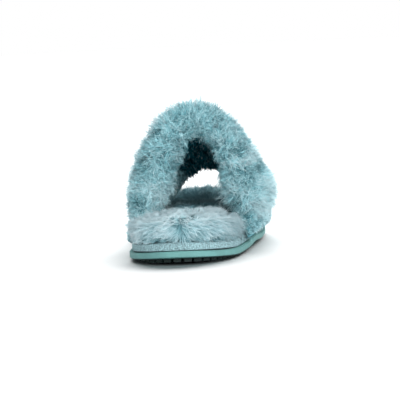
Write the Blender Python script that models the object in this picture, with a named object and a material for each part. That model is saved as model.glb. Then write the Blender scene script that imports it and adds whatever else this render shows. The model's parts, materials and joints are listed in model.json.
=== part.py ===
"""Plush cross-strap slide slipper for a right foot, built as outsole, midsole, insole and strap upper.

Metres, +Z up, +Y from heel to toe, +X to the wearer's right, which is the little-toe side.
The origin is on the floor, under the middle of the slipper's box.
"""

import math
import random

import bmesh
import bpy
import numpy as np
from mathutils import Matrix, Vector

COLLECTION = "slide_slipper"
GAP = 0.0003  # between two pieces that meet

# The sole in plan: share of the length, side shift of the middle, half of the width
SOLE_LENGTH = 0.250
SOLE_STATIONS = (
    {"at": 0.00, "middle": 0.0000, "half": 0.0365},
    {"at": 0.15, "middle": 0.0004, "half": 0.0374},
    {"at": 0.27, "middle": 0.0016, "half": 0.0391},
    {"at": 0.42, "middle": 0.0044, "half": 0.0396},
    {"at": 0.62, "middle": 0.0027, "half": 0.0437},
    {"at": 0.73, "middle": 0.0001, "half": 0.0453},
    {"at": 0.86, "middle": -0.0026, "half": 0.0448},
    {"at": 1.00, "middle": -0.0043, "half": 0.0410},
)
HEEL_ROUND = 0.048  # length of the rounded heel end
TOE_ROUND = 0.078  # length of the rounded toe end
TOE_FULLNESS = 2.35  # 2 is an ellipse, more is squarer
OUTLINE_STEPS = 34  # points along each side of an outline

# The sole from the side: how far its underside leaves the floor
HEEL_SPRING = 0.0028
HEEL_SPRING_LENGTH = 0.036
TOE_SPRING = 0.0052
TOE_SPRING_LENGTH = 0.085
ARCH_RISE = 0.0014
ARCH_MIDDLE = 0.42  # share of the length
ARCH_SPAN = 0.13

# Layers of the sole
LUG_DEPTH = 0.0020
OUTSOLE_SIDE = 0.0046
OUTSOLE_EDGE_ROUND = 0.0008
OUTSOLE_GROOVE = 0.0007  # step under the outsole's upper rim
MIDSOLE_INSET = 0.0016
MIDSOLE_HEIGHT = 0.0060
MIDSOLE_EDGE_ROUND = 0.0012

# Tread under the sole: a row of small lugs along the edge, and brick rows of larger ones inside it
LUG_LENGTH = 0.0085
LUG_WIDTH = 0.0110
LUG_ROW_PITCH = 0.0125
LUG_COLUMN_PITCH = 0.0145
LUG_MARGIN = 0.0140  # from the sole's edge to the brick rows
LUG_ROOT = 0.0010  # how far a lug runs up into the outsole
LUG_SIDE_COLUMNS = 4  # columns to try on each side of the middle
EDGE_LUG_LENGTH = 0.0050
EDGE_LUG_WIDTH = 0.0040
EDGE_LUG_INSET = 0.0088  # of their middles from the sole's edge
EDGE_LUGS = 84

# Fur footbed: share of the length, depth of the pile
FOOTBED_SECTIONS = (
    {"at": 0.00, "pile": 0.0170},
    {"at": 0.16, "pile": 0.0180},
    {"at": 0.40, "pile": 0.0140},
    {"at": 0.72, "pile": 0.0116},
    {"at": 1.00, "pile": 0.0125},
)
FOOTBED_CROWN = 0.0012  # extra height along the middle
FOOTBED_END_INSET = 0.0020  # of its foot inside the sole's outline at heel and toe
FOOTBED_BULGE = 0.0022  # how far its side swells out over its foot there
FOOTBED_CLEARANCE = 0.0075  # to the straps, where their pile lies against it
FOOTBED_SIDE_LEVELS = (0.0, 0.32, 0.62)  # rings on its side, as shares of the pile's depth
FOOTBED_RINGS = 9
FOOTBED_SPINE = 0.62  # length of its middle line, as a share of the sole's
FOOTBED_ROUND = 0.22  # share of the rings that round its rim over
FOOTBED_LAST_RING = 0.07  # size of the ring round the middle line
FOOTBED_SPACING = 1.25  # more than 1 sets the rings closer at the rim
TUCK_START = 0.052  # from the heel end
TUCK_END = 0.2195
TUCK_BLEND = 0.016

# Straps: each runs from the back of one side to the front of the other
STRAP_MIDDLE = 0.133  # the crossing, from the heel end
STRAP_SPREAD = 0.043  # how far a strap's ends lie behind and in front of the crossing
STRAP_WIDTH = 0.068  # at the crossing, measured from heel to toe
STRAP_END_FLARE = 0.010  # wider at its ends by this
NOTCH_ROUND = 0.22  # softens the point of the notches, as a share of the half arch

# The last under the straps: share of the sole's length, height of the arch, side shift of its ridge
LAST_SECTIONS = (
    {"at": 0.20, "height": 0.0915, "ridge": 0.0032},
    {"at": 0.40, "height": 0.0870, "ridge": 0.0032},
    {"at": 0.52, "height": 0.0785, "ridge": 0.0032},
    {"at": 0.66, "height": 0.0630, "ridge": 0.0030},
    {"at": 0.76, "height": 0.0545, "ridge": 0.0030},
    {"at": 0.86, "height": 0.0480, "ridge": 0.0020},
)
CROWN_ROUNDNESS = 2.0  # of the arch's top: 2 is an ellipse, less is more pointed
MEDIAL_LEAN = 1.12  # of the arch's sides: 2 is an ellipse, less leans inwards sooner
LATERAL_LEAN = 1.19
ARCH_SHARE = 0.94  # of the strap's length over the arch, and the rest stands beside the midsole
STRAP_BACKING = 0.0015  # half of the sewn strap under its pile
STRAP_END_RISE = 0.0036  # the wrap shows below the straps' ends by this
OUTER_PILE = 0.0082
INNER_PILE = 0.0094
END_PILE = 0.0028  # outer pile where a strap's end is glued down
OUTER_GROWTH = 0.035  # from a strap's end up to where the outer pile reaches its full depth
INNER_GROWTH = 0.028  # the same for the inner pile, from the midsole's top
EDGE_ROUND = 0.014  # how far from a strap's edge its pile is full
CROSSING_STEP = 0.0042  # the upper strap stands this far over the lower one
CROSSING_CREASE = 0.0058  # how far the pile parts along the upper strap's edges
CREASE_WIDTH = 0.007
STEP_SOFTNESS = 0.007
INNER_STEP = 0.4  # the same step on the inner face, as a share
STEP_FADE = 0.6  # how much of the step is lost at a strap's ends
WALL_SLANT = 1.55  # sideways thickness of the leaning wall over its true thickness
ARCH_STEPS = 58
STRAP_STEPS = 20  # from the back edge to the front edge

# Locks of fur raised on the footbed and the straps
FUR_SEED = 7
LOCK_HEIGHT = 0.0030
LOCK_LEAN = 0.0028
LOCK_HEIGHT_SPREAD = (0.55, 1.35)
LOCK_LEAN_SPREAD = (0.3, 1.2)
LOCK_PARTING = 0.25  # how deep the pile sinks between locks, as a share of their height
INNER_LOCKS = 0.6  # height of the locks inside the straps, as a share of those outside
CREASE_LOCKS = 0.2  # the same in the crease beside the upper strap
RIM_LOCKS = 0.4  # the same on the footbed's rim

# Colours, in linear values
SOLE_FOAM = (0.148, 0.428, 0.424)
WRAP_CLOTH = (0.292, 0.445, 0.485)
FUR_BLUE = (0.235, 0.432, 0.474)
FUR_PALE = (0.352, 0.552, 0.590)


def clear_scene():
    for obj in list(bpy.data.objects):
        bpy.data.objects.remove(obj, do_unlink=True)


def finish_of(name, colour, roughness):
    """A Principled material of one colour."""
    material = bpy.data.materials.new(name)
    material.use_nodes = True
    shader = material.node_tree.nodes["Principled BSDF"]
    shader.inputs["Base Color"].default_value = (*colour, 1.0)
    shader.inputs["Roughness"].default_value = roughness
    shader.inputs["Metallic"].default_value = 0.0
    return material


def ease(x):
    """0 below 0, 1 above 1 and smooth between."""
    t = np.clip(x, 0.0, 1.0)
    return t * t * (3 - 2 * t)


def along_table(rows, column, share):
    """A smooth curve through one column of a table, read at shares of the sole's length."""
    places = np.array([row["at"] for row in rows])
    values = np.array([row[column] for row in rows])
    slopes = np.gradient(values, places)
    share = np.clip(share, places[0], places[-1])
    i = np.clip(np.searchsorted(places, share, side="right") - 1, 0, len(places) - 2)
    span = places[i + 1] - places[i]
    t = (share - places[i]) / span
    from_left = values[i] * (2 * t**3 - 3 * t**2 + 1) + slopes[i] * span * (t**3 - 2 * t**2 + t)
    from_right = values[i + 1] * (3 * t**2 - 2 * t**3) + slopes[i + 1] * span * (t**3 - t**2)
    return from_left + from_right


def sole_half(y):
    """Half of the sole's width at y from the heel end, with both ends rounded off."""
    half = along_table(SOLE_STATIONS, "half", y / SOLE_LENGTH)
    heel = np.clip((HEEL_ROUND - y) / HEEL_ROUND, 0, 1)
    toe = np.clip((y - SOLE_LENGTH + TOE_ROUND) / TOE_ROUND, 0, 1)
    return half * np.sqrt(1 - heel**2) * (1 - toe**TOE_FULLNESS) ** (1 / TOE_FULLNESS)


def sole_middle(y):
    return along_table(SOLE_STATIONS, "middle", y / SOLE_LENGTH)


def floor_rise(y):
    """Height of the sole's underside over the floor at y from the heel end."""
    heel = HEEL_SPRING * np.clip(1 - y / HEEL_SPRING_LENGTH, 0, 1) ** 2
    toe = TOE_SPRING * np.clip((y - SOLE_LENGTH + TOE_SPRING_LENGTH) / TOE_SPRING_LENGTH, 0, 1) ** 2
    arch = ARCH_RISE * ease(1 - np.abs(y / SOLE_LENGTH - ARCH_MIDDLE) / ARCH_SPAN)
    return heel + toe + arch


def sole_outline():
    """The sole's edge as x, y points: up the right side from heel to toe, then back down the left."""
    turn = (np.arange(OUTLINE_STEPS) + 0.5) / OUTLINE_STEPS
    y = SOLE_LENGTH * (1 - np.cos(math.pi * turn)) / 2
    right = np.stack([sole_middle(y) + sole_half(y), y], 1)
    left = np.stack([sole_middle(y) - sole_half(y), y], 1)
    return np.concatenate([right, left[::-1]])


def outward(points):
    """Unit normals of a closed outline that runs anticlockwise."""
    along = np.roll(points, -1, axis=0) - np.roll(points, 1, axis=0)
    normal = np.stack([along[:, 1], -along[:, 0]], 1)
    return normal / np.linalg.norm(normal, axis=1, keepdims=True)


def sole_ring(inset, level):
    """The sole's outline moved in by inset, at a level over the sole's underside line."""
    points = sole_outline()
    points = points - outward(points) * np.reshape(inset, (-1, 1))
    z = floor_rise(np.clip(points[:, 1], 0, SOLE_LENGTH)) + level
    return np.column_stack([points, z])


def lofted(name, rings, material):
    """A closed solid through rings of points. Points that face each other across a ring close both ends."""
    count = len(rings[0])
    bm = bmesh.new()
    rows = [[bm.verts.new(point) for point in ring] for ring in rings]
    for low, high in zip(rows, rows[1:]):
        for i in range(count):
            j = (i + 1) % count
            bm.faces.new((low[i], low[j], high[j], high[i]))
    for row in (rows[0], rows[-1]):
        for i in range(count // 2 - 1):
            bm.faces.new((row[i], row[i + 1], row[count - 2 - i], row[count - 1 - i]))
    bmesh.ops.recalc_face_normals(bm, faces=bm.faces)
    mesh = bpy.data.meshes.new(name)
    bm.to_mesh(mesh)
    bm.free()
    mesh.materials.append(material)
    mesh.shade_smooth()
    obj = bpy.data.objects.new(name, mesh)
    bpy.data.collections[COLLECTION].objects.link(obj)
    return obj


def normals_of(rings):
    """Unit normals at the points of closed rings, pointing out of the solid."""
    round_ring = np.roll(rings, -1, axis=1) - np.roll(rings, 1, axis=1)
    between = np.gradient(rings, axis=0)
    normal = np.cross(round_ring, between)
    length = np.linalg.norm(normal, axis=2, keepdims=True)
    return normal / np.maximum(length, 1e-12)


def raise_locks(rings, normals, locks, flow):
    """Every second point becomes the tip of a lock that leans along flow. Those between sink a little."""
    draw = random.Random(FUR_SEED)
    raised = rings.copy()
    for k in range(len(rings)):
        for i in range(len(rings[k])):
            size = locks[k, i] * LOCK_HEIGHT * draw.uniform(*LOCK_HEIGHT_SPREAD)
            lean = locks[k, i] * LOCK_LEAN * draw.uniform(*LOCK_LEAN_SPREAD)
            if (i + k) % 2:
                raised[k, i] += normals[k, i] * size + flow[k, i] * lean
            else:
                raised[k, i] -= normals[k, i] * size * LOCK_PARTING
    return raised


def brick_lugs():
    """Middles of the larger lugs, in brick rows inside the row along the edge."""
    places = []
    rows = round(SOLE_LENGTH / LUG_ROW_PITCH)
    for row in range(rows):
        y = LUG_ROW_PITCH * (row + 0.5)
        narrow = min(float(sole_half(y - LUG_LENGTH / 2)), float(sole_half(y + LUG_LENGTH / 2)))
        reach = narrow - LUG_MARGIN - LUG_WIDTH / 2
        for column in range(-LUG_SIDE_COLUMNS, LUG_SIDE_COLUMNS + 1):
            x = LUG_COLUMN_PITCH * (column + 0.5 * (row % 2))
            if abs(x) <= reach:
                places.append((float(sole_middle(y)) + x, y))
    return places


def edge_lugs():
    """Middles and turns of the small lugs, evenly spaced along the sole's edge."""
    line = sole_ring(EDGE_LUG_INSET, 0.0)[:, :2]
    line = np.concatenate([line, line[:1]])
    steps = np.linalg.norm(np.diff(line, axis=0), axis=1)
    far = np.concatenate([[0.0], np.cumsum(steps)])
    at = (np.arange(EDGE_LUGS) + 0.5) * far[-1] / EDGE_LUGS
    x = np.interp(at, far, line[:, 0])
    y = np.interp(at, far, line[:, 1])
    ahead = np.stack([np.roll(x, -1) - np.roll(x, 1), np.roll(y, -1) - np.roll(y, 1)], 1)
    turns = np.arctan2(ahead[:, 1], ahead[:, 0])
    return [(float(a), float(b), float(t)) for a, b, t in zip(x, y, turns)]


def add_lug(bm, x, y, turn, length, width):
    """One lug from the floor line up into the outsole. Its length lies along turn."""
    tall = LUG_DEPTH + LUG_ROOT
    lug = bmesh.ops.create_cube(bm, size=1.0)["verts"]
    bmesh.ops.scale(bm, vec=(length, width, tall), verts=lug)
    bmesh.ops.rotate(bm, cent=(0, 0, 0), matrix=Matrix.Rotation(turn, 3, "Z"), verts=lug)
    bmesh.ops.translate(bm, vec=(x, y, float(floor_rise(y)) + tall / 2), verts=lug)


def build_outsole(material):
    """Foam outsole: rounded lower edge, plain band and a small step under the rim, with lugs below."""
    foot = LUG_DEPTH
    rim = foot + OUTSOLE_SIDE
    rings = [
        sole_ring(OUTSOLE_EDGE_ROUND, foot),
        sole_ring(0.0, foot + OUTSOLE_EDGE_ROUND),
        sole_ring(0.0, rim - OUTSOLE_GROOVE),
        sole_ring(OUTSOLE_GROOVE, rim - OUTSOLE_GROOVE / 2),
        sole_ring(OUTSOLE_GROOVE, rim),
    ]
    outsole = lofted("outsole", rings, material)
    bm = bmesh.new()
    for x, y in brick_lugs():
        add_lug(bm, x, y, 0.0, LUG_WIDTH, LUG_LENGTH)
    for x, y, turn in edge_lugs():
        add_lug(bm, x, y, turn, EDGE_LUG_LENGTH, EDGE_LUG_WIDTH)
    mesh = bpy.data.meshes.new("tread_lugs")
    bm.to_mesh(mesh)
    bm.free()
    lugs = bpy.data.objects.new("tread_lugs", mesh)
    lugs.hide_render = True
    lugs.display_type = "WIRE"
    bpy.data.collections["cutters"].objects.link(lugs)
    union = outsole.modifiers.new("lugs", "BOOLEAN")
    union.operation = "UNION"
    union.solver = "EXACT"
    union.object = lugs
    return outsole


def midsole_levels():
    low = LUG_DEPTH + OUTSOLE_SIDE + GAP
    return low, low + MIDSOLE_HEIGHT


def build_midsole(material):
    """Cloth-wrapped platform with soft edges, a little inside the outsole."""
    low, high = midsole_levels()
    soft = MIDSOLE_EDGE_ROUND
    rings = [
        sole_ring(MIDSOLE_INSET + soft / 2, low),
        sole_ring(MIDSOLE_INSET, low + soft / 2),
        sole_ring(MIDSOLE_INSET, high - soft),
        sole_ring(MIDSOLE_INSET + soft, high),
    ]
    return lofted("midsole", rings, material)


def footbed_ring(level, share=1.0):
    """One ring round the footbed at a share of its pile's depth, drawn towards its middle line by share.

    Between the straps it follows their inner face, and it stands free at heel and toe.
    """
    edge = sole_outline()
    y = np.clip(edge[:, 1], 0, SOLE_LENGTH)
    side = np.where(np.arange(len(y)) < OUTLINE_STEPS, 1, -1)
    pile = along_table(FOOTBED_SECTIONS, "pile", y / SOLE_LENGTH)
    base = floor_rise(y) + midsole_levels()[1] + GAP
    between = ease((y - TUCK_START) / TUCK_BLEND) * ease((TUCK_END - y) / TUCK_BLEND)
    tucked = sole_half(y) - inside_half(y, base + pile * level, side) + FOOTBED_CLEARANCE
    free = FOOTBED_END_INSET - FOOTBED_BULGE * math.sin(math.pi * level)
    ring = sole_ring(free + between * np.maximum(tucked - free, 0), 0.0)
    spine_y = SOLE_LENGTH / 2 + (ring[:, 1] - SOLE_LENGTH / 2) * FOOTBED_SPINE
    spine = np.column_stack([sole_middle(ring[:, 1]), spine_y])
    flat = spine + (ring[:, :2] - spine) * share
    y = np.clip(flat[:, 1], 0, SOLE_LENGTH)
    pile = along_table(FOOTBED_SECTIONS, "pile", y / SOLE_LENGTH)
    z = floor_rise(y) + midsole_levels()[1] + GAP + pile * level
    return np.column_stack([flat, z])


def build_insole(material):
    """Fur footbed: a thick pad with a round rim and a soft crown, its pile raised in locks."""
    rings = [footbed_ring(level) for level in FOOTBED_SIDE_LEVELS]
    rim_level = FOOTBED_SIDE_LEVELS[-1]
    for k in range(1, FOOTBED_RINGS):
        turn = k / (FOOTBED_RINGS - 1)
        round_over = math.sqrt(1 - (1 - min(turn / FOOTBED_ROUND, 1.0)) ** 2)
        share = 1.0 - (1.0 - FOOTBED_LAST_RING) * turn**FOOTBED_SPACING
        ring = footbed_ring(rim_level + (1 - rim_level) * round_over, share)
        ring[:, 2] += FOOTBED_CROWN * turn
        rings.append(ring)
    rings = np.array(rings)
    locks = np.ones(rings.shape[:2])
    locks[:2] = locks[-1] = 0.0
    locks[2:4] = RIM_LOCKS
    flow = rings - rings[-1:]
    flow[:, :, 2] = 0.0
    flow /= np.maximum(np.linalg.norm(flow, axis=2, keepdims=True), 1e-9)
    return lofted("insole", raise_locks(rings, normals_of(rings), locks, flow), material)


def strap_line(u, side):
    """Middle of a strap along the arch, u from -1 on the left to 1 on the right.

    Side 1 is the upper strap, which starts behind on the left, and -1 is the lower one.
    """
    return STRAP_MIDDLE + side * u * STRAP_SPREAD


def strap_half(u):
    return (STRAP_WIDTH + STRAP_END_FLARE * np.abs(u)) / 2


def upper_edges(u):
    """Back and front edge of the joined straps along the arch."""
    soft = np.sqrt(u**2 + NOTCH_ROUND**2) - NOTCH_ROUND
    reach = soft * STRAP_SPREAD + strap_half(u)
    return STRAP_MIDDLE - reach, STRAP_MIDDLE + reach


def strap_end_level(y):
    """Where the straps end, beside the midsole."""
    return floor_rise(y) + midsole_levels()[0] + STRAP_END_RISE


def strap_foot_level(y):
    """Where the straps clear the midsole's top and their arch begins."""
    return floor_rise(y) + midsole_levels()[1] + GAP


def last_half(y):
    """Half width of the arch between the middles of the strap walls, at its foot."""
    return sole_half(y) - MIDSOLE_INSET + GAP + STRAP_BACKING


def last_point(u, y):
    """The middle of the strap wall: u from -1 to 1 across the arch, y from the heel end.

    The ends stand straight beside the midsole, and the rest is an arch over the foot.
    """
    end = strap_end_level(y)
    low = strap_foot_level(y)
    top = along_table(LAST_SECTIONS, "height", y / SOLE_LENGTH)
    ridge = along_table(LAST_SECTIONS, "ridge", y / SOLE_LENGTH)
    turn = np.clip(np.abs(u) / ARCH_SHARE, 0, 1) * math.pi / 2
    down = np.clip((np.abs(u) - ARCH_SHARE) / (1 - ARCH_SHARE), 0, 1)
    rise = np.cos(turn) ** (2 / np.where(u < 0, MEDIAL_LEAN, LATERAL_LEAN))
    across = np.sign(u) * np.sin(turn) ** (2 / CROWN_ROUNDNESS)
    x = sole_middle(y) + last_half(y) * across + ridge * rise
    return np.stack([x, y, low + (top - low) * rise - (low - end) * down], axis=-1)


def inside_half(y, z, side):
    """Room from the sole's middle line to the straps' inner face, side 1 to the right and -1 to the left."""
    low = strap_foot_level(y)
    top = along_table(LAST_SECTIONS, "height", y / SOLE_LENGTH)
    ridge = along_table(LAST_SECTIONS, "ridge", y / SOLE_LENGTH)
    rise = np.clip((z - low) / (top - low), 0, 1)
    across = (1 - rise ** np.where(side < 0, MEDIAL_LEAN, LATERAL_LEAN)) ** (1 / CROWN_ROUNDNESS)
    wall = STRAP_BACKING + INNER_PILE * ease((z - low) / INNER_GROWTH)
    return last_half(y) * across + side * ridge * rise - wall * WALL_SLANT


def last_normal(u, y):
    """Unit normal of the last, pointing away from the foot."""
    step = 1e-4
    u = np.clip(u, step - 1, 1 - step)
    across = last_point(u + step, y) - last_point(u - step, y)
    forward = last_point(u, y + step) - last_point(u, y - step)
    normal = np.cross(forward, across)
    return -normal / np.linalg.norm(normal, axis=-1, keepdims=True)


def build_upper(material):
    """Two fur straps joined where they cross: one wall over the last, rounded at its edges."""
    u = np.linspace(1.0, -1.0, ARCH_STEPS + 1)[:, None] * np.ones(STRAP_STEPS + 1)[None]
    v = (1 - np.cos(np.linspace(0, math.pi, STRAP_STEPS + 1))) / 2
    back, front = upper_edges(u)
    y = back + (front - back) * v[None]
    inside = np.minimum(y - back, front - y)
    full = np.sqrt(1 - (1 - np.clip(inside / EDGE_ROUND, 0, 1)) ** 2)
    middle = last_point(u, y)
    normal = last_normal(u, y)
    height = middle[:, :, 2] - strap_end_level(y)
    outer_grown = ease(height / OUTER_GROWTH)
    inner_grown = ease((middle[:, :, 2] - strap_foot_level(y)) / INNER_GROWTH)
    past_edge = np.abs(y - strap_line(u, 1)) - strap_half(u)
    over = ease(-past_edge / STEP_SOFTNESS)
    under = ease((strap_half(u) - np.abs(y - strap_line(u, -1))) / STEP_SOFTNESS)
    crease = np.exp(-((past_edge - CREASE_WIDTH / 2) / CREASE_WIDTH) ** 2)
    crossing = CROSSING_STEP * outer_grown * (1 - STEP_FADE * u**2)
    outer = STRAP_BACKING + END_PILE + (OUTER_PILE - END_PILE) * outer_grown
    outer = (outer + crossing * over - CROSSING_CREASE * crease * outer_grown) * full
    inner = (STRAP_BACKING + INNER_PILE * inner_grown + crossing * under * INNER_STEP) * full
    outside = middle + normal * outer[:, :, None]
    inside_face = middle - normal * inner[:, :, None]
    rings = np.concatenate([outside, inside_face[:, -2:0:-1]], axis=1)
    outer_locks = outer_grown * (1 - (1 - CREASE_LOCKS) * crease)
    inner_locks = INNER_LOCKS * inner_grown
    locks = np.concatenate([outer_locks, inner_locks[:, -2:0:-1]], axis=1)
    locks[0] = locks[-1] = 0.0
    facing = normals_of(rings)
    down = np.zeros_like(rings)
    down[:, :, 2] = -1.0
    flow = down - facing * (down * facing).sum(axis=2, keepdims=True)
    return lofted("upper", raise_locks(rings, facing, locks, flow), material)


def stand_on_origin(parts):
    """Parents the pieces to an empty that puts the origin on the floor under the middle of their box."""
    bpy.context.view_layer.update()
    graph = bpy.context.evaluated_depsgraph_get()
    corners = [Vector(c) for part in parts for c in part.evaluated_get(graph).bound_box]
    low = Vector(min(c[axis] for c in corners) for axis in range(3))
    high = Vector(max(c[axis] for c in corners) for axis in range(3))
    root = bpy.data.objects.new("slipper_origin", None)
    bpy.data.collections[COLLECTION].objects.link(root)
    root.location = (-(low.x + high.x) / 2, -(low.y + high.y) / 2, -low.z)
    for part in parts + list(bpy.data.collections["cutters"].objects):
        part.parent = root


def main():
    clear_scene()
    for name in (COLLECTION, "cutters"):
        collection = bpy.data.collections.new(name)
        bpy.context.scene.collection.children.link(collection)
    parts = [
        build_outsole(finish_of("sole_foam", SOLE_FOAM, 0.55)),
        build_midsole(finish_of("wrap_cloth", WRAP_CLOTH, 0.9)),
        build_insole(finish_of("footbed_fur", FUR_PALE, 0.95)),
        build_upper(finish_of("strap_fur", FUR_BLUE, 0.95)),
    ]
    stand_on_origin(parts)


main()
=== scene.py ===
"""Plush cross-strap slide slipper: faux fur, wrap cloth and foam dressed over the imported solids.

Metres, +Z up, +Y from heel to toe, +X to the wearer's right. The origin is on the floor under the slipper.
"""

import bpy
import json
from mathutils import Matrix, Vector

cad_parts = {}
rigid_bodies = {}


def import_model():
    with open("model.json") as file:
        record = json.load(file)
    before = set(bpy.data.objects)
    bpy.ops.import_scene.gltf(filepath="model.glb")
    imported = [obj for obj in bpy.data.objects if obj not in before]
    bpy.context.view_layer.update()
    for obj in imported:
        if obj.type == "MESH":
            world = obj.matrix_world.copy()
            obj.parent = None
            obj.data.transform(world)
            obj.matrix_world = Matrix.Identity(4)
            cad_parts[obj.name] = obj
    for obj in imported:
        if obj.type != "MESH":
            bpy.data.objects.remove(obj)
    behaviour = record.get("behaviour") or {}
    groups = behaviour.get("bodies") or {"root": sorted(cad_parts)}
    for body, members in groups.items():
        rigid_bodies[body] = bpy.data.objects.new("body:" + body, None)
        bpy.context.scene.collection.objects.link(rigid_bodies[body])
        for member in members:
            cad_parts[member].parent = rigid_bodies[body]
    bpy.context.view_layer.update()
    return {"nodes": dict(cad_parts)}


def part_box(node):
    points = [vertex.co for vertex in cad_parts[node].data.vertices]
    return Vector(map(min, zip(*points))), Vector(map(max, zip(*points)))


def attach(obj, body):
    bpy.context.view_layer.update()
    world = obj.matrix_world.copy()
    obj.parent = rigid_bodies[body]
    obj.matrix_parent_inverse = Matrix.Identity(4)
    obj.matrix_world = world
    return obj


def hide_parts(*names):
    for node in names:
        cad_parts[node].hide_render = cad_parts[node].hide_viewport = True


bl_info = {
    "name": "Plush Slide Slipper",
    "version": (1, 0, 0),
    "blender": (4, 5, 0),
    "location": "View3D > Sidebar > Slipper",
    "description": "Dresses a cross-strap slide slipper in faux fur, wrap cloth and foam",
    "category": "Object",
}

import json
import math

import bmesh
import bpy
import numpy as np
from mathutils import Matrix, Vector, noise
from mathutils.bvhtree import BVHTree

for leftover in list(bpy.data.objects):
    bpy.data.objects.remove(leftover, do_unlink=True)
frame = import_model()

MM = 0.001
UNDERSIDE = 20 * MM  # the undersides of all the pieces lie below this
# The sole's underside rises towards the heel and the toe: from and to along the shoe, and by how much
SPRINGS = (
    {"From Min": -89 * MM, "From Max": -125 * MM, "To Max": 2.8 * MM},
    {"From Min": 40 * MM, "From Max": 125 * MM, "To Max": 5.2 * MM},
)
# Heights over the underside where painted shade ends: on the tread, and where the wrap comes out from behind
# the rim
TREAD_SHADE_EDGE = (1.8 * MM, 2.6 * MM)
GROOVE_SHADE_EDGE = (6.9 * MM, 7.2 * MM)
PUCKER_DEPTH = 0.16 * MM  # half of the depth of the wrap's puckers

# Where the heel's fur parts, from its foot up: side shift and height
HEEL_PARTING = (
    {"x": 1.0 * MM, "z": 14 * MM},
    {"x": 2.0 * MM, "z": 23 * MM},
    {"x": -2.0 * MM, "z": 29 * MM},
    {"x": -3.0 * MM, "z": 33 * MM},
)
# Furrows between the tufts of the heel: middle of each, its half length, turn from level and depth
HEEL_FURROWS = (
    {"x": -1.0 * MM, "z": 27.5 * MM, "half": 5.5 * MM, "turn": -66, "depth": 1.0},
    {"x": -24 * MM, "z": 20.0 * MM, "half": 4.0 * MM, "turn": -30, "depth": 0.8},
    {"x": -12 * MM, "z": 17.5 * MM, "half": 5.0 * MM, "turn": 35, "depth": 0.7},
    {"x": 9 * MM, "z": 21.5 * MM, "half": 4.0 * MM, "turn": 10, "depth": 0.6},
    {"x": -27 * MM, "z": 26.0 * MM, "half": 4.0 * MM, "turn": 40, "depth": 0.5},
    {"x": 20 * MM, "z": 17.5 * MM, "half": 5.0 * MM, "turn": -12, "depth": 0.6},
)
HEEL_FURROW_WIDTH = 1.1 * MM
# Creases of the straps as seen from the heel, set out in the same way. A ridge has a negative depth
STRAP_CREASES = (
    {"x": -4.5 * MM, "z": 95.5 * MM, "half": 4.0 * MM, "turn": 10, "depth": 0.8},
    {"x": -18.5 * MM, "z": 84.0 * MM, "half": 5.0 * MM, "turn": 35, "depth": -0.8},
    {"x": -20.5 * MM, "z": 78.0 * MM, "half": 4.0 * MM, "turn": 30, "depth": 0.8},
    {"x": -28.0 * MM, "z": 61.0 * MM, "half": 5.0 * MM, "turn": 60, "depth": 0.8},
    {"x": -35.0 * MM, "z": 43.5 * MM, "half": 6.0 * MM, "turn": 14, "depth": -0.9},
    {"x": -33.0 * MM, "z": 36.0 * MM, "half": 6.0 * MM, "turn": 5, "depth": 0.6},
    {"x": 34.5 * MM, "z": 73.0 * MM, "half": 5.5 * MM, "turn": -50, "depth": 0.6},
    {"x": 30.5 * MM, "z": 66.0 * MM, "half": 4.5 * MM, "turn": -20, "depth": 0.8},
    {"x": 35.0 * MM, "z": 60.5 * MM, "half": 7.0 * MM, "turn": 37, "depth": -1.0},
    {"x": 41.5 * MM, "z": 52.0 * MM, "half": 5.0 * MM, "turn": -70, "depth": 0.7},
    {"x": 33.5 * MM, "z": 53.5 * MM, "half": 4.0 * MM, "turn": -60, "depth": 0.6},
    {"x": 38.5 * MM, "z": 33.0 * MM, "half": 6.5 * MM, "turn": -69, "depth": -1.0},
    {"x": 34.5 * MM, "z": 31.5 * MM, "half": 6.0 * MM, "turn": -75, "depth": 0.8},
    {"x": 42.5 * MM, "z": 18.0 * MM, "half": 4.0 * MM, "turn": -60, "depth": 0.6},
)
STRAP_CREASE_WIDTH = 2.6 * MM
# The outer fur turns in over the straps' edges: height, how far on the left and on the right
RIM_FUR = (
    {"z": 30 * MM, "left": 90 * MM, "right": 14 * MM},
    {"z": 46 * MM, "left": 70 * MM, "right": 14 * MM},
    {"z": 55 * MM, "left": 30 * MM, "right": 10 * MM},
    {"z": 64 * MM, "left": 13 * MM, "right": 6 * MM},
    {"z": 70 * MM, "left": 4 * MM, "right": 3 * MM},
    {"z": 76 * MM, "left": 1 * MM, "right": 1 * MM},
)
# The straps' fur round the arch: angle from the right in degrees, how deep its backing lies under the solid's
# face, and extra length of the pile
FUR_ROUND_ARCH = (
    {"angle": -50, "depth": 4.0 * MM, "extra": -2.5 * MM},
    {"angle": -28, "depth": 4.0 * MM, "extra": -1.5 * MM},
    {"angle": -10, "depth": 3.0 * MM, "extra": 2.5 * MM},
    {"angle": 1, "depth": 3.2 * MM, "extra": 1.6 * MM},
    {"angle": 14, "depth": 3.8 * MM, "extra": -0.9 * MM},
    {"angle": 28, "depth": 4.2 * MM, "extra": -1.8 * MM},
    {"angle": 45, "depth": 4.6 * MM, "extra": -1.2 * MM},
    {"angle": 75, "depth": 3.8 * MM, "extra": 0.2 * MM},
    {"angle": 103, "depth": 2.2 * MM, "extra": 2.2 * MM},
    {"angle": 118, "depth": 1.6 * MM, "extra": 0.4 * MM},
    {"angle": 140, "depth": 3.2 * MM, "extra": 1.0 * MM},
    {"angle": 170, "depth": 3.2 * MM, "extra": -1.4 * MM},
    {"angle": 190, "depth": 3.0 * MM, "extra": -0.4 * MM},
    {"angle": 215, "depth": 3.4 * MM, "extra": -2.0 * MM},
)
ARCH_MIDDLE = (1 * MM, 0.0, 40 * MM)  # the straps arch round a line along the foot through this place
ARCH_SECTORS = 120
LONGEST_STRAP_PILE = 10.8 * MM
FOOT_TUCK = 1.8 * MM  # how far the straps' inner side goes down past their feet

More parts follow.
